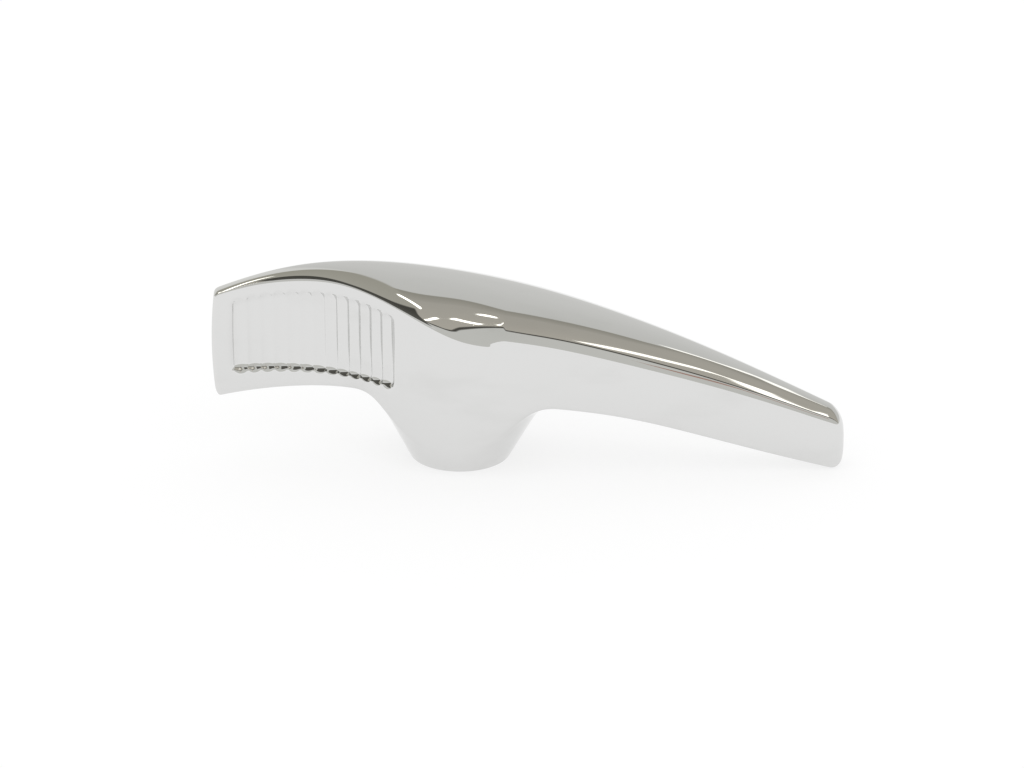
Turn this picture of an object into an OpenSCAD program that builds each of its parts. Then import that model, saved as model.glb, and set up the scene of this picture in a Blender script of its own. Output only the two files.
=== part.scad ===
// Seat adjustment lever: one polished die casting, pushed onto a serrated shaft.
// The origin is the centre of the hub's end face. +Z runs up the hub, +X along the long arm,
// and the ribbed finger pad on the short arm faces -Y. Millimetres.

/* [Arms] */
// Short arm, from the hub axis to its end
short_arm = 45; // [38:1:54]
// Long arm, from the hub axis to its tip
long_arm = 70; // [58:1:84]
// Height of the crown above the hub's end face, at the hub axis
body_h = 34.5; // [30:0.5:41]
// Front face to hub axis, at the hub
front_reach = 11.5; // [10.5:0.1:13.5]
// Back face to hub axis, at the hub
back_reach = 12.2; // [10.5:0.1:14.5]
// How far the polished walls swell between their edges
wall_swell = 0.3; // [0:0.05:0.6]

/* [Edges] */
// Roundness of the front shoulder at the hub: 2 is an ellipse, more is squarer
front_round = 2.5; // [2:0.05:3]
// Roundness of the front shoulder at the tip
tip_front_round = 2.25; // [2:0.05:3]
// Roundness of the back shoulder
back_round = 2.4; // [2:0.05:3]
// Radius along the lower edges of the arms
lower_edge = 0.8; // [0.4:0.1:1.2]
// Radius of the crisp edge above the finger pad
crisp_edge = 0.4; // [0.2:0.05:0.6]
// Rounding of the tip in plan
tip_round = 2.3; // [1.5:0.1:2.6]
// Rounding of the short arm's end in plan
end_round = 0.9; // [0.5:0.1:1.2]

/* [Hub] */
// Diameter of the hub at its end face, before its edge radius
hub_d = 18.4; // [17:0.1:20]
// Height of the arms' underside above the hub's end face, at the hub
hub_h = 14.6; // [12.5:0.1:17]
// How far the hub widens for each millimetre of height, across the lever
hub_flare = 0.53; // [0.4:0.01:0.65]
// How much more it widens towards the long arm, and less towards the short arm
flare_lean = 0.03; // [0:0.01:0.06]
// Height of the sweep where the hub runs into the arms
hub_sweep = 9; // [6:0.5:12]
// Radius of the edge round the end face
hub_edge = 0.45; // [0.2:0.05:0.8]

/* [Socket] */
// Bore of the plain pilot at the mouth
pilot_d = 10.5; // [10.3:0.1:12]
// Depth of the plain pilot
pilot_depth = 3; // [2:0.5:5]
// Shaft serration, over its tips
shaft_d = 10; // [9:0.1:10.2]
// Shaft serration, at its roots
shaft_root_d = 8.6; // [7.6:0.1:8.8]
// Number of serrations
serrations = 28; // [20:1:36]
// Clearance round the serrated shaft
serration_gap = 0.08; // [0.04:0.01:0.15]
// Length of the serrated stretch above the pilot
grip_depth = 10; // [7:0.5:13]

/* [Finger pad] */
// Number of flutes
flutes = 13; // [9:1:14]
// Distance from flute to flute along the face
flute_pitch = 2.44; // [2.2:0.02:2.6]
// Depth of each flute
flute_depth = 0.35; // [0.15:0.05:0.5]
// Land left between two flutes
flute_land = 0.3; // [0.2:0.05:0.6]
// From the short arm's end to the middle of the first flute
pad_inset = 4.7; // [4:0.1:6]
// From the crisp edge down to the flutes
pad_top_gap = 2.6; // [1.5:0.1:4]
// Height of the flutes' lower ends above the hub's end face
pad_foot = 16.2; // [14.5:0.1:20]

/* [Hidden] */

// Each curve below is a spline over the lever's length. Its values stand one bay apart, the
// first of them four bays to the left of the hub axis, and the hub axis is at the fifth.
short_bays = 3;
long_bays = 14 / 3;
bays_left = 4;
// How far the crown lies below body_h
crown_fall = [7.5, 2.5, -1.1, -1.8, 0, 2.8, 7, 12.4, 18.9, 25.9, 33.2];
// How far the underside of the arms lies below hub_h
under_fall = [4.6, 3.6, 2.3, 0.5, 0, 1, 3.1, 7.6, 12.2, 16.1, 20.6];
// How far the back face stands in front of back_reach
back_set = [14.2, 7.3, 3.3, 0.9, 0, 1.8, 6.2, 10.1, 13.6, 16.4, 19.2];
// Depth of the back shoulder below the crown
back_drop = [3, 3.5, 4.5, 6, 6.5, 6, 5.2, 4.4, 3.6, 3.2, 3];
// The crown's line in plan
crown_line = [-2, 3, 5.8, 3.3, 1.2, -0.8, -2.2, -3.6, -5.1, -6.7, -8.2];
// The next two have a value every half bay: the finger scoop turns quickly.
// How far the front face stands behind front_reach
front_set = [5.5, 9, 12.4, 14.1, 13.9, 11.8, 6.8, 1.2, 0, 0, 0.3, 0.6, 0.9, 1.2, 1.5, 1.8,
             2.1, 2.4, 2.7, 3.1, 3.4];
// How far the front edge lies below the crown
edge_drop = [0.4, 0.4, 0.5, 0.8, 1.4, 1.7, 2.8, 4.6, 7.6, 7.3, 6.9, 6.7, 6.4, 6, 5.4, 4.7,
             4, 3.4, 2.7, 2, 2];

// The scoop cuts the front shoulder off at this share of its width, and fades out at the hub
scoop_cut = 0.78;
scoop_full_x = -9;
scoop_gone_x = 8;
// How far the ends of the arms bow out between top and bottom
end_bow = 0.6;
tip_bow = 0.5;
bow_reach = 6;
// Rounding of the two ends at the top and at the bottom
end_top = 0.6;
end_foot = 2;
tip_top = 3.2;
tip_foot = 2.2;

// The front shoulder has its hub roundness up to the first place and its tip's from the second
hub_round_x = 8;
tip_round_x = 40;

// Stations along the lever and points round a section. The hub's fan of sections turns to
// face its axis within the zone, over the last stretch of it.
zone = 19.5;
zone_turn = 8;
cap_turn = 80;
cap_power = 1.1;
cap_steps = 3;
short_steps = 15;
hub_steps = 30;
long_steps = 20;
foot_steps = 2;
wall_steps = 3;
edge_steps = 2;
dome_steps = 9;
across_steps = 4;
ring_steps = 9;
ring_bias = 1.6;
// Share of the dome's turn that the crisp edge takes, per millimetre of its radius
edge_share = 0.15;
// The hub's end edge is drawn in two steps: the point between them
hub_edge_in = 0.2;
hub_edge_up = 0.25;

// Cuts start this far outside what they cut
fit_skin = 0.01;
bore_facets = 96;
flute_facets = 48;

function spline(v, s) =
    let (i = min(max(floor(s), 1), len(v) - 3), f = s - i)
    (v[i - 1] * pow(1 - f, 3) + v[i] * (3 * f * f * f - 6 * f * f + 4)
     + v[i + 1] * (-3 * f * f * f + 3 * f * f + 3 * f + 1) + v[i + 2] * f * f * f) / 6;
function bay(x) = bays_left + (x < 0 ? x * short_bays / short_arm : x * long_bays / long_arm);
function whole(v, x) = spline(v, bay(x));
function half(v, x) = spline(v, 2 * bay(x));
function ease(a, b, x) =
    let (t = min(max((x - a) / (b - a), 0), 1)) t * t * t * (t * (6 * t - 15) + 10);

function crown_z(x) = body_h - whole(crown_fall, x);
function edge_z(x) = crown_z(x) - half(edge_drop, x);
function back_edge_z(x) = crown_z(x) - whole(back_drop, x);
function front_y(x) = half(front_set, x) - front_reach;
function back_y(x) = back_reach - whole(back_set, x);
function cut_share(x) = scoop_cut + (1 - scoop_cut) * ease(scoop_full_x, scoop_gone_x, x);

// Underside: the arms' own line, with the flared hub swept into it
function arm_foot_z(x) = hub_h - whole(under_fall, x);
function foot_z(x, y) =
    let (arm = arm_foot_z(x),
         r = norm([x, y]),
         flank = (r - hub_d / 2) / (hub_flare + flare_lean * x / r),
         near = max(hub_sweep - abs(arm - flank), 0) / hub_sweep)
    min(arm, flank) - near * near * near * hub_sweep / 6;

// One station: [x, plan rounding, top rounding, foot rounding]
function cap(side, a) =
    let (s = pow(sin(a) / sin(cap_turn), 1 / cap_power), c = 1 - pow(cos(a), 1 / cap_power))
    side < 0
    ? [-short_arm + end_round * (1 - s), end_round * c, end_top * c, end_foot * c]
    : [long_arm - tip_round * (1 - s), tip_round * c, tip_top * c, tip_foot * c];
function steps(a, b, n) = [for (i = [0:n - 1]) a + (b - a) * i / n];
stations = concat(
    [for (a = steps(cap_turn, 0, cap_steps)) cap(-1, a)],
    [for (x = steps(end_round - short_arm, -zone, short_steps)) [x, 0, 0, 0]],
    [for (x = steps(-zone, zone, hub_steps)) [x, 0, 0, 0]],
    [for (x = steps(zone, long_arm - tip_round, long_steps)) [x, 0, 0, 0]],
    [[long_arm - tip_round, 0, 0, 0]],
    [for (i = [1:cap_steps]) cap(1, cap_turn * i / cap_steps)]);
hub_first = cap_steps + short_steps;
hub_last = hub_first + hub_steps;
last = len(stations) - 1;

// Half a section, from the underside over the lower edge, the wall and the edge to the crown
function bend(a, b, c, t) = (1 - t) * (1 - t) * a + 2 * t * (1 - t) * b + t * t * c;
function half_section(st, side) =
    let (x = st[0],
         front = side < 0,
         y = front ? front_y(x) + st[1] : back_y(x) - st[1],
         top = crown_z(x) - st[2],
         edge = (front ? edge_z(x) : back_edge_z(x)) - st[2],
         foot = foot_z(x, y) + st[3],
         cut = front ? cut_share(x) : 1,
         hub_like = ease(tip_round_x, hub_round_x, x),
         p = front ? tip_front_round + (front_round - tip_front_round) * hub_like : back_round,
         line = whole(crown_line, x),
         wide = abs(y - line) / cut,
         low = pow(1 - min(pow(cut, p), 1), 1 / p),
         tall = (top - edge) / (1 - low),
         last_a = asin(min(pow(cut, p / 2), 1)),
         first_a = last_a * (1 - edge_share * crisp_edge),
         dome = function(a) [x, line + side * wide * pow(sin(a), 2 / p),
                             top - tall + tall * pow(cos(a), 2 / p)],
         near = ease(zone, zone - zone_turn, abs(x)),
         to_hub = -[x, y] / norm([x, y]),
         mixed = (1 - near) * [0, -side] + near * to_hub,
         way = mixed / norm(mixed),
         probe = [x, y] + way * lower_edge / 2,
         slope = (foot_z(probe[0], probe[1]) + st[3] - foot) / (lower_edge / 2),
         inner = [x, y] + way * lower_edge / sqrt(1 + slope * slope),
         a = [inner[0], inner[1], foot_z(inner[0], inner[1]) + st[3]],
         b = [x, y, foot],
         c = [x, y, foot + lower_edge],
         d = [x, y, edge - crisp_edge],
         e = [x, y, edge],
         f = dome(first_a),
         swell = function(q) let (h = (q[2] - foot) / (edge - foot))
             [q[0], q[1] + side * wall_swell * (h > 0 && h < 1 ? 4 * h * (1 - h) : 0), q[2]])
    concat(
        [for (i = [0:foot_steps]) swell(bend(a, b, c, i / foot_steps))],
        [for (i = [1:wall_steps]) swell(c + (d - c) * i / wall_steps)],
        [for (i = [1:edge_steps]) swell(bend(d, e, f, i / edge_steps))],
        [for (i = [1:dome_steps]) dome(first_a * (1 - i / dome_steps))]);

// Both ends bow out a little between top and bottom
function bowed(q) =
    let (low = arm_foot_z(q[0]),
         h = min(max((q[2] - low) / (crown_z(q[0]) - low), 0), 1),
         k = 4 * h * (1 - h))
    [q[0] - end_bow * k * ease(bow_reach - short_arm, -short_arm, q[0])
          + tip_bow * k * ease(long_arm - bow_reach, long_arm, q[0]), q[1], q[2]];

// The skin: one open section a station, front underside to back underside
function reversed(v) = [for (i = [len(v) - 1:-1:0]) v[i]];
function section(st) =
    let (f = half_section(st, -1), b = half_section(st, 1))
    concat(f, [for (i = [len(b) - 2:-1:0]) b[i]]);
skin = [for (st = stations) section(st)];
rows = len(skin[0]);

// The underside of an arm, straight across a section, without its two ends
function across(i) =
    let (a = skin[i][0], b = skin[i][rows - 1], lift = stations[i][3])
    [for (k = [1:across_steps - 1])
        let (q = a + (b - a) * k / across_steps) [q[0], q[1], foot_z(q[0], q[1]) + lift]];

// Everything below is one list of points with named starts
skin_points = [for (s = skin) for (q = s) bowed(q)];
across_rows = [for (i = [0:last]) if (i <= hub_first || i >= hub_last) i];
across_start = len(skin_points);
across_points = [for (i = across_rows) for (q = across(i)) bowed(q)];
function skin_at(i, j) = i * rows + j;
function across_at(i, k) =
    k == 0 ? skin_at(i, 0)
    : k == across_steps ? skin_at(i, rows - 1)
    : across_start + (i <= hub_first ? i : i - hub_last + hub_first + 1) * (across_steps - 1)
      + k - 1;

// The loop round the foot of the hub, and the rings from it to the hub's end face
loop = concat(
    [for (i = [hub_first:hub_last]) skin_at(i, 0)],
    [for (k = [1:across_steps - 1]) across_at(hub_last, k)],
    [for (i = [hub_last:-1:hub_first]) skin_at(i, rows - 1)],
    [for (k = [across_steps - 1:-1:1]) across_at(hub_first, k)]);
upper_points = concat(skin_points, across_points);
loop_points = [for (i = loop) upper_points[i]];
function ring(k) =
    let (t = 1 - pow(1 - k / ring_steps, ring_bias))
    [for (q = loop_points)
        let (r = norm([q[0], q[1]]),
             flank_r = hub_d / 2 + hub_edge * (hub_flare + flare_lean * q[0] / r),
             xy = [q[0], q[1]] * (1 - t + t * flank_r / r))
        [xy[0], xy[1], foot_z(xy[0], xy[1])]];
function circle_points(r, z) =
    [for (q = loop_points) let (n = norm([q[0], q[1]])) [q[0] * r / n, q[1] * r / n, z]];
ring_start = len(upper_points);
ring_points = concat(
    [for (k = [1:ring_steps]) each ring(k)],
    circle_points(hub_d / 2 - hub_edge * hub_edge_in, hub_edge * hub_edge_up),
    circle_points(hub_d / 2 - hub_edge, 0));
ring_count = ring_steps + 2;
n_loop = len(loop);
function ring_at(k, i) = k == 0 ? loop[i % n_loop] : ring_start + (k - 1) * n_loop + i % n_loop;

// The two end faces, closed from their outline to a middle point through one ring
function end_outline(i) = concat(
    [for (j = [0:rows - 1]) skin_at(i, j)],
    [for (k = [across_steps - 1:-1:1]) across_at(i, k)]);
function flat_point(i, j) =
    j < rows ? skin[i][j] : across(i)[across_steps - 2 - (j - rows)];
function middle(i) =
    let (n = rows + across_steps - 1)
    [for (c = [0:2]) let (v = [for (j = [0:n - 1]) flat_point(i, j)[c]]) (min(v) + max(v)) / 2];
end_count = rows + across_steps - 1;
function end_ring(i) =
    let (m = middle(i)) [for (j = [0:end_count - 1]) bowed(m + (flat_point(i, j) - m) / 2)];
end_start = ring_start + len(ring_points);
end_points = concat(end_ring(0), [bowed(middle(0))], end_ring(last), [bowed(middle(last))]);
function end_faces(i, start, turn) =
    let (o = end_outline(i),
         quads = [for (j = [0:end_count - 1])
             let (n = (j + 1) % end_count) [o[j], o[n], start + n, start + j]],
         fan = [for (j = [0:end_count - 1])
             [start + j, start + (j + 1) % end_count, start + end_count]])
    [for (f = concat(quads, fan)) turn ? reversed(f) : f];

points = concat(upper_points, ring_points, end_points);
// Quads are split so that each triangle is flat
function split(f) = len(f) == 4 ? [[f[0], f[1], f[2]], [f[0], f[2], f[3]]] : [f];
quads = concat(
    [for (i = [0:last - 1]) for (j = [0:rows - 2])
        [skin_at(i, j), skin_at(i, j + 1), skin_at(i + 1, j + 1), skin_at(i + 1, j)]],
    [for (i = [0:last - 1]) if (i < hub_first || i >= hub_last) for (k = [0:across_steps - 1])
        [across_at(i, k), across_at(i + 1, k), across_at(i + 1, k + 1), across_at(i, k + 1)]],
    [for (k = [0:ring_count - 1]) for (i = [0:n_loop - 1])
        [ring_at(k, i), ring_at(k, i + 1), ring_at(k + 1, i + 1), ring_at(k + 1, i)]],
    end_faces(0, end_start, true),
    end_faces(last, end_start + end_count + 1, false));
end_face = [[for (i = [0:n_loop - 1]) ring_at(ring_count, i)]];
faces = concat([for (f = quads) each split(f)], end_face);

// The casting without its socket and flutes
module blank() {
    polyhedron(points = points, faces = faces, convexity = 8);
}

// Serrated bore: straight-sided teeth between two circles
module serrated_bore(depth) {
    tip_r = shaft_d / 2 + serration_gap;
    root_r = shaft_root_d / 2 + serration_gap;
    linear_extrude(height = depth)
        polygon([for (i = [0:2 * serrations - 1])
            let (r = i % 2 == 0 ? tip_r : root_r, a = 180 * i / serrations)
            [r * cos(a), r * sin(a)]]);
}

module socket() {
    translate([0, 0, -fit_skin])
        cylinder(h = pilot_depth + fit_skin, d = pilot_d, $fn = bore_facets);
    translate([0, 0, pilot_depth - fit_skin])
        serrated_bore(grip_depth + fit_skin);
}

// Middles of the flutes along the face of the scoop, by steps of equal length along it
slope_step = 0.5;
function face_slope(x) = (front_y(x + slope_step) - front_y(x - slope_step)) / (2 * slope_step);
function next_flute(x) =
    let (s = face_slope(x),
         half_way = x + flute_pitch / 2 / sqrt(1 + s * s),
         m = face_slope(half_way))
    x + flute_pitch / sqrt(1 + m * m);
function flute_run(x, n) = n == 1 ? [x] : concat([x], flute_run(next_flute(x), n - 1));
flute_w = flute_pitch - flute_land;
flute_r = (flute_w * flute_w / 4 + flute_depth * flute_depth) / (2 * flute_depth);
// The face between the flutes' two ends stands about this far out on its swell
pad_swell = wall_swell * 0.8;

// One flute: a round-ended groove that stands upright in the face
module flute(x) {
    s = face_slope(x);
    foot = pad_foot + flute_w / 2;
    head = edge_z(x) - pad_top_gap - flute_w / 2;
    out = flute_r - flute_depth - pad_swell;
    shift = [s, -1] / sqrt(1 + s * s) * out;
    translate([x + shift[0], front_y(x) + shift[1], foot]) {
        cylinder(h = head - foot, r = flute_r, $fn = flute_facets);
        sphere(r = flute_r, $fn = flute_facets);
        translate([0, 0, head - foot])
            sphere(r = flute_r, $fn = flute_facets);
    }
}

module lever() {
    color("silver")
        difference() {
            blank();
            socket();
            for (x = flute_run(pad_inset - short_arm, flutes))
                flute(x);
        }
}

lever();
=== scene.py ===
import bpy
import math
import numpy as np
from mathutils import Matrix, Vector


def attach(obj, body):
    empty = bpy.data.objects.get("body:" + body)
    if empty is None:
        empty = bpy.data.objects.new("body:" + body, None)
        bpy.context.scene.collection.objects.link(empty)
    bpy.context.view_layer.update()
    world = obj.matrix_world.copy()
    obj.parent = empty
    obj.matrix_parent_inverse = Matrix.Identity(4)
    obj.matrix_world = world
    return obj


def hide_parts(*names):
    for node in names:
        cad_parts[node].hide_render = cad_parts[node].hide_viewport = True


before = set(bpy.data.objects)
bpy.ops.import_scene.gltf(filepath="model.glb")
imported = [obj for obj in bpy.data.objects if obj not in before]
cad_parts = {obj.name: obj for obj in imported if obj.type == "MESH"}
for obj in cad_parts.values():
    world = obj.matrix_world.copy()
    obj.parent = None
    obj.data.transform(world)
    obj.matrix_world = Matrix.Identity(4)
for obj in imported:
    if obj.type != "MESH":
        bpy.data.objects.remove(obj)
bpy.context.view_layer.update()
mm = 0.001
print("frame loaded")

# The lever's shape in millimetres, as in the part's source: origin at the hub's end face,
# +Z up the hub, +X along the long arm, and the finger pad faces -Y
leverShape = {
    "shortArm": 45, "longArm": 70,
    "bodyHeight": 34.5, "frontReach": 11.5, "backReach": 12.2,
    "wallSwell": 0.3,
    "frontRound": 2.5, "tipFrontRound": 2.25, "backRound": 2.4,
    "hubRoundX": 8, "tipRoundX": 40,
    "lowerEdge": 0.8, "crispEdge": 0.4, "edgeShare": 0.15,
    "tipRound": 2.3, "tipTop": 3.2, "tipFoot": 2.2,
    "endRound": 0.9, "endTop": 0.6, "endFoot": 2,
    "endBow": 0.6, "tipBow": 0.5, "bowReach": 6,
    "hubWidth": 18.4, "hubHeight": 14.6, "hubFlare": 0.53, "flareLean": 0.03,
    "hubSweep": 9, "hubEdge": 0.45,
    "scoopCut": 0.78, "scoopFullX": -9, "scoopGoneX": 8,
    # one value a bay, the hub axis at the fifth
    "crownFall": [7.5, 2.5, -1.1, -1.8, 0, 2.8, 7, 12.4, 18.9, 25.9, 33.2],
    "underFall": [4.6, 3.6, 2.3, 0.5, 0, 1, 3.1, 7.6, 12.2, 16.1, 20.6],
    "backSet": [14.2, 7.3, 3.3, 0.9, 0, 1.8, 6.2, 10.1, 13.6, 16.4, 19.2],
    "backDrop": [3, 3.5, 4.5, 6, 6.5, 6, 5.2, 4.4, 3.6, 3.2, 3],
    "crownLine": [-2, 3, 5.8, 3.3, 1.2, -0.8, -2.2, -3.6, -5.1, -6.7, -8.2],
    # one value each half bay
    "frontSet": [5.5, 9, 12.4, 14.1, 13.9, 11.8, 6.8, 1.2, 0, 0, 0.3, 0.6, 0.9, 1.2, 1.5, 1.8,
                 2.1, 2.4, 2.7, 3.1, 3.4],
    "edgeDrop": [0.4, 0.4, 0.5, 0.8, 1.4, 1.7, 2.8, 4.6, 7.6, 7.3, 6.9, 6.7, 6.4, 6, 5.4, 4.7,
                 4, 3.4, 2.7, 2, 2],
    "shortBays": 3, "longBays": 14 / 3, "baysLeft": 4,
}
padShape = {
    "flutes": 13, "pitch": 2.44, "depth": 0.26, "land": 0.3,
    "inset": 4.7, "topGap": 2.6, "footHeight": 16.2, "swellShare": 0.8,
}
socketShape = {
    "pilotWidth": 10.5, "pilotDepth": 3, "shaftWidth": 10, "shaftRoot": 8.6,
    "serrations": 28, "gap": 0.08, "gripDepth": 10,
}
# How finely the mesh follows the shape
meshSteps = {
    "zone": 19.5, "zoneTurn": 8, "capTurn": 80, "capPower": 1.1,
    "tipCap": 10, "endCap": 8, "beforePad": 5, "hub": 96, "long": 96,
    "foot": 5, "crisp": 5, "frontDome": 40, "backDome": 34, "backWall": 18,
    "across": 14, "rings": 40, "ringBias": 1.6, "hubEdge": 5, "endRings": 7,
}


def spline(values, place):
    v = np.asarray(values, float)
    i = np.clip(np.floor(place).astype(int), 1, len(v) - 3)
    f = place - i
    return (v[i - 1] * (1 - f) ** 3 + v[i] * (3 * f ** 3 - 6 * f ** 2 + 4)
            + v[i + 1] * (-3 * f ** 3 + 3 * f ** 2 + 3 * f + 1) + v[i + 2] * f ** 3) / 6


def bayAt(x):
    s = leverShape
    return s["baysLeft"] + np.where(x < 0, x * s["shortBays"] / s["shortArm"],
                                    x * s["longBays"] / s["longArm"])


def whole(name, x):
    return spline(leverShape[name], bayAt(np.asarray(x, float)))


def half(name, x):
    return spline(leverShape[name], 2 * bayAt(np.asarray(x, float)))


def ease(a, b, x):
    t = np.clip((x - a) / (b - a), 0, 1)
    return t ** 3 * (t * (6 * t - 15) + 10)


def crownZ(x):
    return leverShape["bodyHeight"] - whole("crownFall", x)


def edgeZ(x):
    return crownZ(x) - half("edgeDrop", x)


def frontY(x):
    return half("frontSet", x) - leverShape["frontReach"]


def backY(x):
    return leverShape["backReach"] - whole("backSet", x)


def armFootZ(x):
    return leverShape["hubHeight"] - whole("underFall", x)


def flareAt(x, r):
    return leverShape["hubFlare"] + leverShape["flareLean"] * x / r


def footZ(x, y):
    # the arms' own underside with the flared hub swept into it
    arm = armFootZ(x)
    r = np.hypot(x, y)
    flank = (r - leverShape["hubWidth"] / 2) / flareAt(x, r)
    sweep = leverShape["hubSweep"]
    near = np.maximum(sweep - np.abs(arm - flank), 0) / sweep
    return np.minimum(arm, flank) - near ** 3 * sweep / 6


def faceSlope(x, step=0.5):
    return (frontY(x + step) - frontY(x - step)) / (2 * step)


def fluteCentres():
    # steps of equal length along the face
    xs = [padShape["inset"] - leverShape["shortArm"]]
    while len(xs) < padShape["flutes"]:
        x = xs[-1]
        middle = x + padShape["pitch"] / 2 / math.hypot(1, faceSlope(x))
        xs.append(x + padShape["pitch"] / math.hypot(1, faceSlope(middle)))
    return xs


fluteWidth = padShape["pitch"] - padShape["land"]
fluteRadius = ((fluteWidth ** 2 / 4 + padShape["depth"] ** 2) / (2 * padShape["depth"]))


def stationList():
    # [x, plan rounding, top rounding, foot rounding]
    s, m = leverShape, meshSteps

    def cap(side, turn):
        a = math.radians(turn)
        p = 1 / m["capPower"]
        sine = (math.sin(a) / math.sin(math.radians(m["capTurn"]))) ** p
        c = 1 - math.cos(a) ** p
        if side < 0:
            return (-s["shortArm"] + s["endRound"] * (1 - sine),
                    s["endRound"] * c, s["endTop"] * c, s["endFoot"] * c)
        return (s["longArm"] - s["tipRound"] * (1 - sine),
                s["tipRound"] * c, s["tipTop"] * c, s["tipFoot"] * c)

    rows = [cap(-1, t) for t in np.linspace(m["capTurn"], 0, m["endCap"], endpoint=False)]
    xs = []
    inside = np.array([-0.5, -0.47, -0.41, -0.32, -0.21, -0.1, 0, 0.1, 0.21, 0.32, 0.41, 0.47, 0.5])
    for x in fluteCentres():
        scale = fluteWidth / math.hypot(1, faceSlope(x))
        xs += list(x + inside * scale)
    firstX = s["endRound"] - s["shortArm"]
    xs = list(np.linspace(firstX, xs[0], m["beforePad"], endpoint=False)) + xs
    # the zone's two ends are stations of their own
    xs = [x for x in xs if abs(x + m["zone"]) > 0.06] + [-m["zone"]]
    xs.sort()
    gap = (m["zone"] - xs[-1]) / m["hub"]
    xs += list(np.linspace(xs[-1] + gap, m["zone"], m["hub"]))
    longEnd = s["longArm"] - s["tipRound"]
    xs += list(np.linspace(m["zone"], longEnd, m["long"] + 1)[1:])
    rows += [(x, 0, 0, 0) for x in xs]
    rows += [cap(1, t) for t in np.linspace(0, m["capTurn"], m["tipCap"] + 1)[1:]]
    return np.array(rows)


def bend(a, b, c, t):
    return (1 - t) ** 2 * a + 2 * t * (1 - t) * b + t * t * c


def wallShares(x, low, high):
    # rows of the front wall, gathered at the flutes' two ends
    pad = padShape
    footAt = (pad["footHeight"] - low) / (high - low)
    headAt = (edgeZ(x) - pad["topGap"] - low) / (high - low)
    end = 1.5 / (high - low)
    edge = 0.2 / (high - low)
    isPad = ease(-4, -11, x)
    marks = [(0 * x, 0 * x)]
    for value, plain in ((footAt - edge, 0.2), (footAt + end, 0.3),
                         (headAt - end, 0.72), (headAt + edge, 0.82), (1 + 0 * x, 1)):
        marks.append((value * isPad + plain * (1 - isPad), 0))
    counts = [7, 11, 16, 11, 5]
    rows = []
    for k, n in enumerate(counts):
        a, b = marks[k][0], marks[k + 1][0]
        for i in range(1, n + 1):
            rows.append(a + (b - a) * i / n)
    return rows


def halfSection(stations, side):
    s, m = leverShape, meshSteps
    x, inset, topCut, footLift = stations.T
    front = side < 0
    y = frontY(x) + inset if front else backY(x) - inset
    top = crownZ(x) - topCut
    edge = (edgeZ(x) if front else crownZ(x) - whole("backDrop", x)) - topCut
    foot = footZ(x, y) + footLift
    if front:
        cut = s["scoopCut"] + (1 - s["scoopCut"]) * ease(s["scoopFullX"], s["scoopGoneX"], x)
        p = s["tipFrontRound"] + (s["frontRound"] - s["tipFrontRound"]) * ease(
            s["tipRoundX"], s["hubRoundX"], x)
    else:
        cut = np.ones_like(x)
        p = s["backRound"] + 0 * x
    line = whole("crownLine", x)
    wide = np.abs(y - line) / cut
    low = (1 - np.minimum(cut ** p, 1)) ** (1 / p)
    tall = (top - edge) / (1 - low)
    lastTurn = np.arcsin(np.minimum(cut ** (p / 2), 1))
    firstTurn = lastTurn * (1 - s["edgeShare"] * s["crispEdge"])

    def dome(turn):
        return np.stack([x, line + side * wide * np.sin(turn) ** (2 / p),
                         top - tall + tall * np.maximum(np.cos(turn), 0) ** (2 / p)], -1)

    # the lower edge turns in across the arms, and towards the axis round the hub
    near = ease(m["zone"], m["zone"] - m["zoneTurn"], np.abs(x))[:, None]
    plan = np.stack([x, y], -1)
    toHub = -plan / np.linalg.norm(plan, axis=1)[:, None]
    way = (1 - near) * np.array([0, -side]) + near * toHub
    way /= np.linalg.norm(way, axis=1)[:, None]
    probe = plan + way * s["lowerEdge"] / 2
    slope = (footZ(probe[:, 0], probe[:, 1]) + footLift - foot) / (s["lowerEdge"] / 2)
    inner = plan + way * (s["lowerEdge"] / np.sqrt(1 + slope ** 2))[:, None]
    a = np.stack([inner[:, 0], inner[:, 1], footZ(inner[:, 0], inner[:, 1]) + footLift], -1)
    b = np.stack([x, y, foot], -1)
    c = b + np.array([0, 0, s["lowerEdge"]])
    d = np.stack([x, y, edge - s["crispEdge"]], -1)
    e = np.stack([x, y, edge], -1)
    f = dome(firstTurn)
    rows = [bend(a, b, c, t) for t in np.linspace(0, 1, m["foot"] + 1)]
    wallFirst = len(rows)
    if front:
        shares = wallShares(x, c[:, 2], d[:, 2])
    else:
        shares = [t + 0 * x for t in np.linspace(0, 1, m["backWall"] + 1)[1:]]
    rows += [c + (d - c) * t[:, None] for t in shares]
    wallLast = len(rows)
    rows += [bend(d, e, f, t) for t in np.linspace(0, 1, m["crisp"] + 1)[1:]]
    swellTo = len(rows)
    steps = m["frontDome"] if front else m["backDome"]
    rows += [dome(firstTurn * (1 - t)) for t in np.linspace(0, 1, steps + 1)[1:]]
    rows = np.stack(rows, 1)
    h = (rows[:, :swellTo, 2] - foot[:, None]) / (edge - foot)[:, None]
    rows[:, :swellTo, 1] += side * s["wallSwell"] * np.where((h > 0) & (h < 1), 4 * h * (1 - h), 0)
    if front:
        rows[:, wallFirst:wallLast] = cutFlutes(rows[:, wallFirst:wallLast])
    return rows


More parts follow.
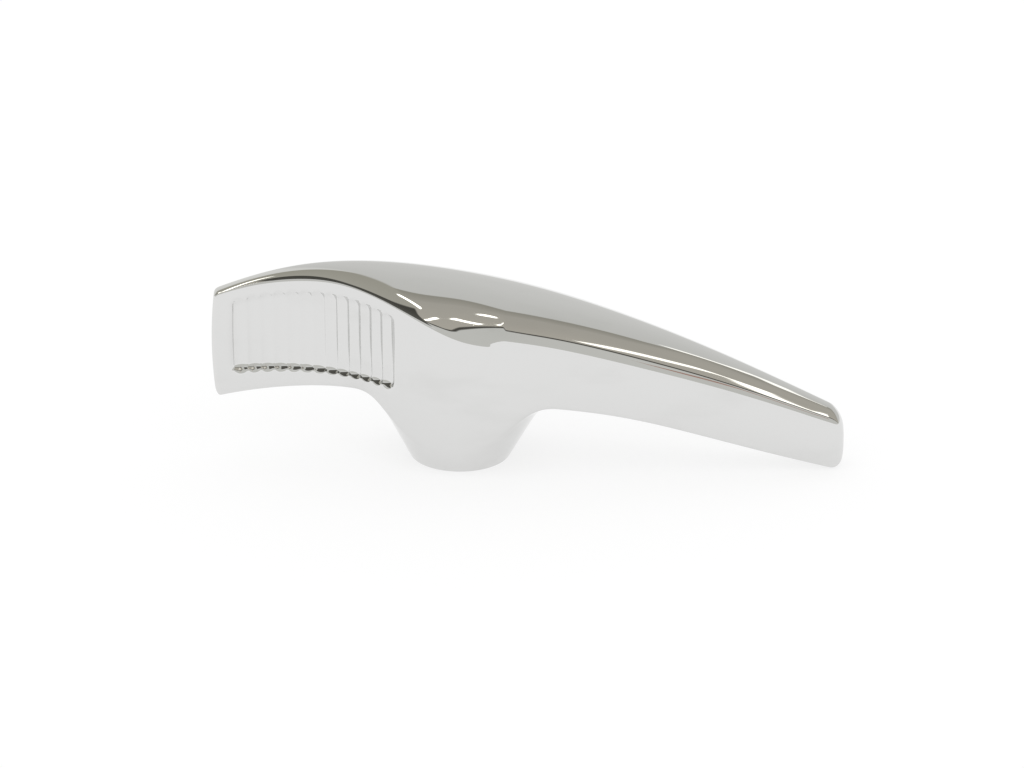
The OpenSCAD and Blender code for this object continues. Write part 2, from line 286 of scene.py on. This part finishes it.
def cutFlutes(q):
    # push the wall's points in to the surface of each round-ended groove
    q = q.copy()
    swell = leverShape["wallSwell"] * padShape["swellShare"]
    out = fluteRadius - padShape["depth"] - swell
    for centre in fluteCentres():
        slope = faceSlope(centre)
        outward = np.array([slope, -1]) / math.hypot(1, slope)
        foot = padShape["footHeight"] + fluteWidth / 2
        head = edgeZ(centre) - padShape["topGap"] - fluteWidth / 2
        axis = np.array([centre, frontY(centre)]) + outward * out
        beyond = np.clip(q[..., 2], foot, head) - q[..., 2]
        off = q[..., :2] - axis
        b = -(off @ outward)
        c = (off ** 2).sum(-1) + beyond ** 2 - fluteRadius ** 2
        inside = (c < 0) & (np.abs(q[..., 0] - centre) < fluteWidth)
        push = np.where(inside, -b + np.sqrt(np.maximum(b * b - c, 0)), 0)
        q[..., :2] -= push[..., None] * outward
    return q


def bowed(q):
    # both ends bow out a little between top and bottom
    s = leverShape
    x, z = q[..., 0], q[..., 2]
    low = armFootZ(x)
    h = np.clip((z - low) / (crownZ(x) - low), 0, 1)
    k = 4 * h * (1 - h)
    q = q.copy()
    q[..., 0] = (x - s["endBow"] * k * ease(s["bowReach"] - s["shortArm"], -s["shortArm"], x)
                 + s["tipBow"] * k * ease(s["longArm"] - s["bowReach"], s["longArm"], x))
    return q


class Weave:
    # collects points and faces; every grid keeps the numbers of its points
    def __init__(self):
        self.points = []
        self.faces = []
        self.count = 0

    def add(self, q):
        q = np.asarray(q, float)
        ids = np.arange(self.count, self.count + q[..., 0].size).reshape(q.shape[:-1])
        self.points.append(q.reshape(-1, 3))
        self.count += ids.size
        return ids

    def net(self, ids, closed=False):
        if closed:
            ids = np.concatenate([ids, ids[:, :1]], 1)
        a, b, c, d = ids[:-1, :-1], ids[:-1, 1:], ids[1:, 1:], ids[1:, :-1]
        self.faces += np.stack([a, b, c, d], -1).reshape(-1, 4).tolist()

    def fan(self, loop, middle):
        self.faces += [[int(loop[i]), int(loop[(i + 1) % len(loop)]), int(middle)]
                       for i in range(len(loop))]

    def stitch(self, outer, outerTurn, inner, innerTurn):
        # triangles between two rings with different numbers of points
        o = np.argsort(outerTurn)
        n = np.argsort(innerTurn)
        i = j = 0
        while i < len(o) or j < len(n):
            a, b = o[i % len(o)], n[j % len(n)]
            nextOuter = outerTurn[o[(i + 1) % len(o)]] + (2 * math.pi if i + 1 >= len(o) else 0)
            nextInner = innerTurn[n[(j + 1) % len(n)]] + (2 * math.pi if j + 1 >= len(n) else 0)
            if j >= len(n) or (i < len(o) and nextOuter <= nextInner):
                c = o[(i + 1) % len(o)]
                self.faces.append([int(outer[a]), int(outer[c]), int(inner[b])])
                i += 1
            else:
                c = n[(j + 1) % len(n)]
                self.faces.append([int(outer[a]), int(inner[c]), int(inner[b])])
                j += 1


def makeLever():
    s, m, k = leverShape, meshSteps, socketShape
    stations = stationList()
    fronts = halfSection(stations, -1)
    backs = halfSection(stations, 1)
    skin = np.concatenate([fronts, backs[:, -2::-1]], 1)
    x = stations[:, 0]
    hubFirst = int(np.argmin(np.abs(x + m["zone"])))
    hubLast = int(np.argmin(np.abs(x - m["zone"])))
    weave = Weave()
    skinIds = weave.add(bowed(skin))
    weave.net(skinIds)

    # underside of the arms, straight across
    share = np.linspace(0, 1, m["across"] + 1)[None, :, None]
    across = skin[:, :1] * (1 - share) + skin[:, -1:] * share
    across[:, 1:-1, 2] = (footZ(across[:, 1:-1, 0], across[:, 1:-1, 1]) + stations[:, 3:4])
    acrossIds = {}
    for name, chosen in (("left", np.arange(0, hubFirst + 1)),
                         ("right", np.arange(hubLast, len(x)))):
        inner = weave.add(bowed(across[chosen, 1:-1]))
        ids = np.concatenate([skinIds[chosen, :1], inner, skinIds[chosen, -1:]], 1)
        weave.net(ids)
        acrossIds[name] = ids

    # rings from the foot of the body down the flared hub to its end face
    hub = np.arange(hubFirst, hubLast + 1)
    loopIds = np.concatenate([skinIds[hub, 0], acrossIds["right"][0, 1:-1],
                              skinIds[hub[::-1], -1], acrossIds["left"][-1, -2:0:-1]])
    loop = np.concatenate([skin[hub, 0], across[hubLast, 1:-1],
                           skin[hub[::-1], -1], across[hubFirst, -2:0:-1]])
    r = np.hypot(loop[:, 0], loop[:, 1])
    flankR = s["hubWidth"] / 2 + s["hubEdge"] * flareAt(loop[:, 0], r)
    rings = []
    for i in range(1, m["rings"] + 1):
        t = 1 - (1 - i / m["rings"]) ** m["ringBias"]
        xy = loop[:, :2] * (1 - t + t * flankR / r)[:, None]
        rings.append(np.column_stack([xy, footZ(xy[:, 0], xy[:, 1])]))
    corner = loop[:, :2] * (s["hubWidth"] / 2 / r)[:, None]
    endIn = loop[:, :2] * ((s["hubWidth"] / 2 - s["hubEdge"]) / r)[:, None]
    first = rings[-1]
    for i in range(1, m["hubEdge"] + 1):
        t = i / m["hubEdge"]
        xy = bend(first[:, :2], corner, endIn, t)
        z = bend(first[:, 2], 0, 0, t)
        rings.append(np.column_stack([xy, z]))
    ringIds = weave.add(np.stack(rings))
    weave.net(np.concatenate([loopIds[None], ringIds]), closed=True)

    # socket: plain pilot, step, serrations and a flat top
    n = 4 * k["serrations"]
    turn = np.arange(n) * 2 * math.pi / n
    tip = k["shaftWidth"] / 2 + k["gap"]
    root = k["shaftRoot"] / 2 + k["gap"]
    corners = np.array([(tip if i % 2 == 0 else root) * np.array(
        [math.cos(math.pi * i / k["serrations"]), math.sin(math.pi * i / k["serrations"])])
        for i in range(2 * k["serrations"])])
    teeth = np.empty((n, 2))
    teeth[0::2] = corners
    teeth[1::2] = (corners + np.roll(corners, -1, 0)) / 2
    circle = np.column_stack([np.cos(turn), np.sin(turn)])
    pilot = circle * k["pilotWidth"] / 2

    def level(xy, z):
        return np.column_stack([xy, np.full(len(xy), float(z))])

    top = k["pilotDepth"] + k["gripDepth"]
    zs = np.linspace(0, k["pilotDepth"], 4)
    layers = [level(pilot, z) for z in zs]
    layers += [level((pilot + teeth) / 2, k["pilotDepth"])]
    layers += [level(teeth, z) for z in np.linspace(k["pilotDepth"], top, 6)]
    layers += [level(teeth * f, top) for f in (0.66, 0.33)]
    socketIds = weave.add(np.stack(layers))
    weave.net(socketIds, closed=True)
    weave.fan(socketIds[-1], weave.add(np.array([[0, 0, top]]))[0])
    weave.stitch(ringIds[-1], np.arctan2(loop[:, 1], loop[:, 0]), socketIds[0],
                 np.arctan2(pilot[:, 1], pilot[:, 0]))

    # the two end faces, in rings from their outline to their middle
    for i, ids in ((0, acrossIds["left"][0]), (len(x) - 1, acrossIds["right"][-1])):
        outline = np.concatenate([skinIds[i], ids[-2:0:-1]])
        flat = np.concatenate([skin[i], across[i, -2:0:-1]])
        middle = (flat.min(0) + flat.max(0)) / 2
        shares = np.linspace(1, 0, m["endRings"] + 1)[1:-1]
        inner = weave.add(bowed(np.stack([middle + (flat - middle) * t for t in shares])))
        weave.net(np.concatenate([outline[None], inner]), closed=True)
        weave.fan(inner[-1], weave.add(bowed(middle[None]))[0])

    points = np.concatenate(weave.points) * mm
    mesh = bpy.data.meshes.new("leverCasting")
    mesh.from_pydata(points.tolist(), [], weave.faces)
    mesh.validate()
    lever = bpy.data.objects.new("leverCasting", mesh)
    bpy.context.collection.objects.link(lever)
    bpy.context.view_layer.objects.active = lever
    lever.select_set(True)
    bpy.ops.object.mode_set(mode="EDIT")
    bpy.ops.mesh.select_all(action="SELECT")
    bpy.ops.mesh.normals_make_consistent(inside=False)
    bpy.ops.object.mode_set(mode="OBJECT")
    mesh.shade_smooth()
    mesh.set_sharp_from_angle(angle=math.radians(50))
    triangles = sum(len(f.vertices) - 2 for f in mesh.polygons)
    print("lever mesh:", len(mesh.vertices), "points,", triangles, "triangles")
    return lever


# Small helpers for node trees
def addNode(tree, kind, place, **settings):
    node = tree.nodes.new(kind)
    node.location = place
    for name, value in settings.items():
        setattr(node, name, value)
    return node


def setInputs(node, **values):
    for name, value in values.items():
        node.inputs[name].default_value = value


def maths(tree, operation, a, b, place):
    node = addNode(tree, "ShaderNodeMath", place, operation=operation)
    for socket, value in zip(node.inputs, (a, b)):
        if isinstance(value, (int, float)):
            socket.default_value = value
        elif value is not None:
            tree.links.new(value, socket)
    return node.outputs[0]


def mapRange(tree, value, lowest, highest, toLow, toHigh, place, smooth=True):
    node = addNode(tree, "ShaderNodeMapRange", place,
                   interpolation_type="SMOOTHSTEP" if smooth else "LINEAR")
    tree.links.new(value, node.inputs["Value"])
    for name, number in (("From Min", lowest), ("From Max", highest),
                         ("To Min", toLow), ("To Max", toHigh)):
        node.inputs[name].default_value = number
    return node.outputs["Result"]


def newGroup(name, inputs, outputs):
    group = bpy.data.node_groups.new(name, "ShaderNodeTree")
    for socketName, kind, value in inputs:
        socket = group.interface.new_socket(socketName, in_out="INPUT", socket_type=kind)
        socket.default_value = value
    for socketName, kind in outputs:
        group.interface.new_socket(socketName, in_out="OUTPUT", socket_type=kind)
    start = addNode(group, "NodeGroupInput", (-1200, 0))
    end = addNode(group, "NodeGroupOutput", (900, 0))
    return group, start, end


def linear(red, green, blue):
    # a colour as a picture writes it, 0 to 255, turned into light
    def one(v):
        v /= 255
        return v / 12.92 if v <= 0.04045 else ((v + 0.055) / 1.055) ** 2.4
    return (one(red), one(green), one(blue))


platingLook = {
    "tone": (0.722, 0.722, 0.716), "toneDark": (0.69, 0.69, 0.682),
    "polish": 0.03, "hazeRough": 0.075,
    "waveSize": 14.0, "waveHeight": 0.0016,
    "pitSize": 2.4, "pitHeight": 0.006,
    "socketTone": (0.42, 0.42, 0.41), "socketRough": 0.36,
}


def makeWaveGroup():
    # the slow unevenness of a hand-polished casting under its plating
    group, start, end = newGroup(
        "polishWaves",
        [("Wave Length", "NodeSocketFloat", 14.0), ("Grain", "NodeSocketFloat", 0.3)],
        [("Height", "NodeSocketFloat")])
    coords = addNode(group, "ShaderNodeTexCoord", (-1200, -300))
    size = maths(group, "DIVIDE", 1000.0, start.outputs["Wave Length"], (-1000, 0))
    slow = addNode(group, "ShaderNodeTexNoise", (-700, 100))
    setInputs(slow, Detail=1.0, Roughness=0.4)
    fine = addNode(group, "ShaderNodeTexNoise", (-700, -200))
    setInputs(fine, Detail=2.0, Roughness=0.5)
    group.links.new(coords.outputs["Object"], slow.inputs["Vector"])
    group.links.new(coords.outputs["Object"], fine.inputs["Vector"])
    group.links.new(size, slow.inputs["Scale"])
    group.links.new(maths(group, "MULTIPLY", size, 4.5, (-850, -200)), fine.inputs["Scale"])
    grain = maths(group, "MULTIPLY", fine.outputs[0], start.outputs["Grain"], (-450, -200))
    group.links.new(maths(group, "ADD", slow.outputs[0], grain, (-200, 0)), end.inputs["Height"])
    return group


def makePitGroup():
    # a few tiny pits and specks under the plating
    group, start, end = newGroup(
        "finePits",
        [("Pit Spacing", "NodeSocketFloat", 2.4), ("Share", "NodeSocketFloat", 0.06)],
        [("Height", "NodeSocketFloat"), ("Mask", "NodeSocketFloat")])
    coords = addNode(group, "ShaderNodeTexCoord", (-1200, -300))
    cells = addNode(group, "ShaderNodeTexVoronoi", (-800, 0), feature="F1")
    group.links.new(coords.outputs["Object"], cells.inputs["Vector"])
    group.links.new(maths(group, "DIVIDE", 1000.0, start.outputs["Pit Spacing"], (-1000, 0)),
                    cells.inputs["Scale"])
    near = mapRange(group, cells.outputs["Distance"], 0.03, 0.09, 1.0, 0.0, (-500, 100))
    tint = addNode(group, "ShaderNodeSeparateColor", (-600, -200))
    group.links.new(cells.outputs["Color"], tint.inputs[0])
    chosen = maths(group, "LESS_THAN", tint.outputs[0], start.outputs["Share"], (-350, -200))
    mask = maths(group, "MULTIPLY", near, chosen, (-100, 0))
    group.links.new(mask, end.inputs["Mask"])
    group.links.new(maths(group, "MULTIPLY", mask, -1.0, (100, 100)), end.inputs["Height"])
    return group


def makeHazeGroup():
    # faint wiping haze: soft clouds drawn out along the lever
    group, start, end = newGroup(
        "wipedHaze",
        [("Size", "NodeSocketFloat", 9.0)],
        [("Mask", "NodeSocketFloat")])
    coords = addNode(group, "ShaderNodeTexCoord", (-1200, -300))
    stretch = addNode(group, "ShaderNodeMapping", (-1000, -200))
    stretch.inputs["Scale"].default_value = (0.35, 1.0, 1.0)
    group.links.new(coords.outputs["Object"], stretch.inputs["Vector"])
    cloud = addNode(group, "ShaderNodeTexNoise", (-700, 0))
    setInputs(cloud, Detail=3.0, Roughness=0.6)
    group.links.new(stretch.outputs[0], cloud.inputs["Vector"])
    group.links.new(maths(group, "DIVIDE", 1000.0, start.outputs["Size"], (-900, 0)),
                    cloud.inputs["Scale"])
    group.links.new(mapRange(group, cloud.outputs[0], 0.5, 0.78, 0.0, 1.0, (-400, 0)),
                    end.inputs["Mask"])
    return group


def makeSocketGroup():
    # inside the socket the plating is thin and dull
    group, start, end = newGroup(
        "socketMask",
        [("Radius", "NodeSocketFloat", 5.3), ("Top", "NodeSocketFloat", 13.5)],
        [("Mask", "NodeSocketFloat")])
    coords = addNode(group, "ShaderNodeTexCoord", (-1200, -300))
    part = addNode(group, "ShaderNodeSeparateXYZ", (-1000, 0))
    group.links.new(coords.outputs["Object"], part.inputs[0])
    xx = maths(group, "MULTIPLY", part.outputs[0], part.outputs[0], (-800, 100))
    yy = maths(group, "MULTIPLY", part.outputs[1], part.outputs[1], (-800, -100))
    r = maths(group, "SQRT", maths(group, "ADD", xx, yy, (-600, 0)), None, (-400, 0))
    inR = maths(group, "LESS_THAN", maths(group, "MULTIPLY", r, 1000.0, (-250, 0)),
                start.outputs["Radius"], (-100, 0))
    inZ = maths(group, "LESS_THAN", maths(group, "MULTIPLY", part.outputs[2], 1000.0, (-250, -200)),
                start.outputs["Top"], (-100, -200))
    group.links.new(maths(group, "MULTIPLY", inR, inZ, (100, 0)), end.inputs["Mask"])
    return group


def makePlating(waves, pits, haze, socket):
    look = platingLook
    material = bpy.data.materials.new("brightPlating")
    material.use_nodes = True
    tree = material.node_tree
    shader = tree.nodes["Principled BSDF"]
    setInputs(shader, Metallic=1.0)

    def place(group, at, **values):
        node = addNode(tree, "ShaderNodeGroup", at, node_tree=group)
        for name, value in values.items():
            node.inputs[name.replace("_", " ")].default_value = value
        return node

    wave = place(waves, (-900, -300), Wave_Length=look["waveSize"], Grain=0.12)
    pit = place(pits, (-900, -500), Pit_Spacing=look["pitSize"], Share=0.03)
    cloud = place(haze, (-900, 0), Size=9.0)
    dull = place(socket, (-900, 250), Radius=5.3, Top=13.5)

    tone = addNode(tree, "ShaderNodeMix", (-500, 250), data_type="RGBA")
    tone.inputs["A"].default_value = (*look["tone"], 1)
    tone.inputs["B"].default_value = (*look["toneDark"], 1)
    tree.links.new(cloud.outputs["Mask"], tone.inputs["Factor"])
    worn = addNode(tree, "ShaderNodeMix", (-300, 250), data_type="RGBA")
    worn.inputs["B"].default_value = (*look["socketTone"], 1)
    tree.links.new(tone.outputs["Result"], worn.inputs["A"])
    tree.links.new(dull.outputs["Mask"], worn.inputs["Factor"])
    tree.links.new(worn.outputs["Result"], shader.inputs["Base Color"])

    rough = mapRange(tree, cloud.outputs["Mask"], 0, 1, look["polish"], look["hazeRough"],
                     (-500, 0), smooth=False)
    more = maths(tree, "MULTIPLY", dull.outputs["Mask"], look["socketRough"], (-500, -100))
    tree.links.new(maths(tree, "ADD", rough, more, (-300, 0)), shader.inputs["Roughness"])

    first = addNode(tree, "ShaderNodeBump", (-500, -350))
    setInputs(first, Strength=1.0, Distance=look["waveHeight"] * mm)
    tree.links.new(wave.outputs["Height"], first.inputs["Height"])
    second = addNode(tree, "ShaderNodeBump", (-300, -350))
    setInputs(second, Strength=1.0, Distance=look["pitHeight"] * mm)
    tree.links.new(pit.outputs["Height"], second.inputs["Height"])
    tree.links.new(first.outputs[0], second.inputs["Normal"])
    tree.links.new(second.outputs[0], shader.inputs["Normal"])
    return material


# The studio that the plating mirrors. Turn is counted in degrees from the horizon behind the
# lever, over the top, to the horizon in front of it, so 180 is level with the viewer's side.
studio = {
    # each band: where it starts, its colour there and at its end
    "bands": [
        (-90, (215, 215, 214), (215, 215, 214)), (0, (192, 192, 190), (184, 184, 181)),
        (74, (136, 134, 125), (152, 149, 141)), (90, (156, 153, 145), (164, 160, 151)),
        (136, (62, 61, 57), (72, 71, 66)), (141, (184, 184, 180), (184, 184, 180)),
    ],
    "leftBands": [
        (-90, (215, 215, 214), (215, 215, 214)), (0, (206, 206, 203), (200, 200, 197)),
        (56, (146, 144, 134), (154, 152, 143)), (108, (62, 61, 57), (84, 83, 78)),
        (156, (204, 204, 203), (190, 190, 187)), (168, (184, 184, 180), (184, 184, 180)),
    ],
    "soft": 1.2, "leftFrom": -0.13, "leftFull": -0.18,
    # towards the long arm's side the front bands stand further round, and the top ones less
    "leanFrom": 0.05, "leanFull": 0.25, "lean": 14, "frontFrom": 92, "frontFull": 122,
    "backFrom": 0.445, "backFull": 0.5, "leanBack": 18,
    "plateTone": 0.72,
    "floorFront": 0.17, "floorFar": 1.6,
    "floorTone": 0.3, "lift": 0.73, "roomLight": 0.94,
}
# Narrow lamps and window edges: places as (turn, sideways share of 100), half width, colour
lampStrips = {
    "windowLeft": {"line": [(89, -22), (104, -5)], "width": 2.8, "light": (3, 2.95, 2.7)},
    "windowRight": {"line": [(120, 9), (130, -9)], "width": 1.8, "light": (3, 2.95, 2.7)},
    "longTube": {"line": [(143, 35), (121.5, 48.8), (123.6, 51.9), (149, 46)],
                 "width": 1.7, "light": (1.9, 1.85, 1.7)},
    "upperTube": {"line": [(66, 46), (56, 49.5), (46, 49.3), (60, 55)],
                  "width": 1.3, "light": (1.5, 1.48, 1.4)},
    "redEdge": {"line": [(168, 29.5), (160.5, 37), (165.5, 38.5)],
                "width": 1.1, "light": (0.42, 0.25, 0.2)},
}


def makeBands(tree, place, bands, at):
    # a ramp of plain bands with soft borders
    soft = studio["soft"]
    ramp = addNode(tree, "ShaderNodeValToRGB", at)
    stops = []
    for i, (start, first, last) in enumerate(bands):
        begin = (start + 90 + soft / 2) / 360 if i else 0.0
        end = (bands[i + 1][0] + 90 - soft / 2) / 360 if i + 1 < len(bands) else 1.0
        stops += [(begin, first), (end, last)]
    elements = ramp.color_ramp.elements
    while len(elements) < len(stops):
        elements.new(0.5)
    for element, (position, colour) in zip(elements, stops):
        element.position = position
        element.color = (*(c / studio["plateTone"] for c in linear(*colour)), 1)
    tree.links.new(place, ramp.inputs[0])
    return ramp.outputs["Color"]


def stripMask(tree, spot, start, end, width):
    # 1 within the width of the line from start to end, fading over its edge
    a = Vector((*start, 0))
    run = Vector((*end, 0)) - a
    off = addNode(tree, "ShaderNodeVectorMath", (0, 500), operation="SUBTRACT")
    tree.links.new(spot, off.inputs[0])
    off.inputs[1].default_value = a
    along = addNode(tree, "ShaderNodeVectorMath", (100, 500), operation="DOT_PRODUCT")
    tree.links.new(off.outputs[0], along.inputs[0])
    along.inputs[1].default_value = run / run.length_squared
    t = addNode(tree, "ShaderNodeClamp", (200, 500))
    tree.links.new(along.outputs["Value"], t.inputs[0])
    nearest = addNode(tree, "ShaderNodeVectorMath", (300, 500), operation="SCALE")
    nearest.inputs[0].default_value = run
    tree.links.new(t.outputs[0], nearest.inputs["Scale"])
    gap = addNode(tree, "ShaderNodeVectorMath", (400, 500), operation="DISTANCE")
    tree.links.new(off.outputs[0], gap.inputs[0])
    tree.links.new(nearest.outputs[0], gap.inputs[1])
    return mapRange(tree, gap.outputs["Value"], width * 0.6, width * 1.2, 1, 0, (500, 500))


def makeWorld():
    look = studio
    world = bpy.data.worlds.new("studioRoom")
    bpy.context.scene.world = world
    world.use_nodes = True
    tree = world.node_tree
    tree.nodes.clear()
    out = addNode(tree, "ShaderNodeOutputWorld", (1200, 0))
    coords = addNode(tree, "ShaderNodeTexCoord", (-1400, 0))
    part = addNode(tree, "ShaderNodeSeparateXYZ", (-1200, 0))
    tree.links.new(coords.outputs["Generated"], part.inputs[0])
    turn = maths(tree, "ARCTAN2", part.outputs[2], part.outputs[1], (-1000, 0))
    degrees = maths(tree, "MULTIPLY", turn, 180 / math.pi, (-850, 0))
    # below the horizon in front the angle wraps to -180, so it is counted on instead
    wrapped = maths(tree, "LESS_THAN", degrees, -90.0, (-850, -150))
    full = maths(tree, "ADD", degrees, maths(tree, "MULTIPLY", wrapped, 360.0, (-700, -150)),
                 (-550, 0))
    share = maths(tree, "DIVIDE", maths(tree, "ADD", full, 90.0, (-400, 0)), 360.0, (-250, 0))
    side = part.outputs[0]
    lean = mapRange(tree, side, look["leanFrom"], look["leanFull"], 0, look["lean"], (-900, -400))
    back = mapRange(tree, side, look["backFrom"], look["backFull"], 0, look["leanBack"],
                    (-900, -600))
    front = mapRange(tree, full, look["frontFrom"], look["frontFull"], 0, 1, (-900, -1000))
    top = maths(tree, "SUBTRACT", 1.0, front, (-700, -1000))
    ahead = maths(tree, "MULTIPLY", lean, front, (-700, -400))
    behind = maths(tree, "MULTIPLY", back, top, (-700, -600))
    shift = maths(tree, "DIVIDE", maths(tree, "SUBTRACT", ahead, behind, (-550, -450)), 360.0,
                  (-400, -450))
    leftward = mapRange(tree, side, look["leftFrom"], look["leftFull"], 0, 1, (-900, -800))
    bands = addNode(tree, "ShaderNodeMix", (250, -100), data_type="RGBA")
    tree.links.new(leftward, bands.inputs["Factor"])
    tree.links.new(makeBands(tree, maths(tree, "SUBTRACT", share, shift, (-100, -200)),
                             look["bands"], (0, 0)), bands.inputs["A"])
    tree.links.new(makeBands(tree, share, look["leftBands"], (0, -300)), bands.inputs["B"])
    light = bands.outputs["Result"]

    spot = addNode(tree, "ShaderNodeCombineXYZ", (-200, 300))
    tree.links.new(full, spot.inputs[0])
    tree.links.new(maths(tree, "MULTIPLY", side, 100.0, (-350, 300)), spot.inputs[1])
    for strip in lampStrips.values():
        for start, end in zip(strip["line"][:-1], strip["line"][1:]):
            mask = stripMask(tree, spot.outputs[0], start, end, strip["width"])
            mix = addNode(tree, "ShaderNodeMix", (450, -100), data_type="RGBA")
            mix.inputs["B"].default_value = (*strip["light"], 1)
            tree.links.new(mask, mix.inputs["Factor"])
            tree.links.new(light, mix.inputs["A"])
            light = mix.outputs["Result"]

    path = addNode(tree, "ShaderNodeLightPath", (300, 400))
    room = addNode(tree, "ShaderNodeBackground", (600, 200))
    setInputs(room, Color=(1, 1, 1, 1), Strength=look["roomLight"])
    mirrored = addNode(tree, "ShaderNodeBackground", (600, 0))
    tree.links.new(light, mirrored.inputs["Color"])
    white = addNode(tree, "ShaderNodeBackground", (600, -200))
    setInputs(white, Color=(1, 1, 1, 1), Strength=1.0)
    forGlossy = addNode(tree, "ShaderNodeMixShader", (800, 100))
    tree.links.new(path.outputs["Is Glossy Ray"], forGlossy.inputs[0])
    tree.links.new(room.outputs[0], forGlossy.inputs[1])
    tree.links.new(mirrored.outputs[0], forGlossy.inputs[2])
    forCamera = addNode(tree, "ShaderNodeMixShader", (1000, 0))
    tree.links.new(path.outputs["Is Camera Ray"], forCamera.inputs[0])
    tree.links.new(forGlossy.outputs[0], forCamera.inputs[1])
    tree.links.new(white.outputs[0], forCamera.inputs[2])
    tree.links.new(forCamera.outputs[0], out.inputs[0])


def makeFloor():
    look = studio
    far, near = look["floorFar"], look["floorFront"]
    mesh = bpy.data.meshes.new("studioFloor")
    mesh.from_pydata([(-far, -near, 0), (far, -near, 0), (far, far, 0), (-far, far, 0)],
                     [], [(0, 1, 2, 3)])
    floor = bpy.data.objects.new("studioFloor", mesh)
    bpy.context.collection.objects.link(floor)
    material = bpy.data.materials.new("paleFloor")
    material.use_nodes = True
    tree = material.node_tree
    tree.nodes.clear()
    out = addNode(tree, "ShaderNodeOutputMaterial", (600, 0))
    matt = addNode(tree, "ShaderNodeBsdfDiffuse", (0, 200))
    tone = look["floorTone"]
    setInputs(matt, Color=(tone, tone, tone, 1))
    glow = addNode(tree, "ShaderNodeEmission", (0, -200))
    setInputs(glow, Color=(1, 1, 1, 1))
    path = addNode(tree, "ShaderNodeLightPath", (-700, 0))
    seen = maths(tree, "MAXIMUM", path.outputs["Is Camera Ray"], path.outputs["Is Glossy Ray"],
                 (-500, 0))
    seen = maths(tree, "MAXIMUM", seen, path.outputs["Is Transmission Ray"], (-350, 0))
    tree.links.new(maths(tree, "MULTIPLY", seen, look["lift"], (-200, -200)),
                   glow.inputs["Strength"])
    both = addNode(tree, "ShaderNodeAddShader", (300, 0))
    tree.links.new(matt.outputs[0], both.inputs[0])
    tree.links.new(glow.outputs[0], both.inputs[1])
    tree.links.new(both.outputs[0], out.inputs[0])
    mesh.materials.append(material)


# The viewpoint: straight in front, looking down, with the hub's end at its place in the picture
viewpoint = {
    "elevation": 24.0, "distance": 0.9, "pixel": 0.0001855,
    "hubPixel": (460.0, 451.7), "middle": (512, 384), "pictureWidth": 1024, "sensor": 36.0,
}


def makeCamera():
    look = viewpoint
    e = math.radians(look["elevation"])
    up = Vector((0, math.sin(e), math.cos(e)))
    back = Vector((0, -math.cos(e), math.sin(e)))
    aim = (Vector((1, 0, 0)) * (look["middle"][0] - look["hubPixel"][0])
           + up * (look["hubPixel"][1] - look["middle"][1])) * look["pixel"]
    data = bpy.data.cameras.new("photoView")
    data.sensor_width = look["sensor"]
    data.lens = look["distance"] / look["pixel"] * look["sensor"] / look["pictureWidth"]
    data.clip_start = 0.05
    data.clip_end = 20
    camera = bpy.data.objects.new("photoView", data)
    camera.location = back * look["distance"]
    camera.rotation_euler = (aim - camera.location).to_track_quat("-Z", "Y").to_euler()
    bpy.context.collection.objects.link(camera)
    bpy.context.scene.camera = camera


makeCamera()
makeWorld()
makeFloor()
print("studio ready")

lever = makeLever()
plating = makePlating(makeWaveGroup(), makePitGroup(), makeHazeGroup(), makeSocketGroup())
lever.data.materials.append(plating)
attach(lever, "root")
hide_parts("lever")
print("lever plated")

bpy.context.scene.view_settings.view_transform = "Standard"
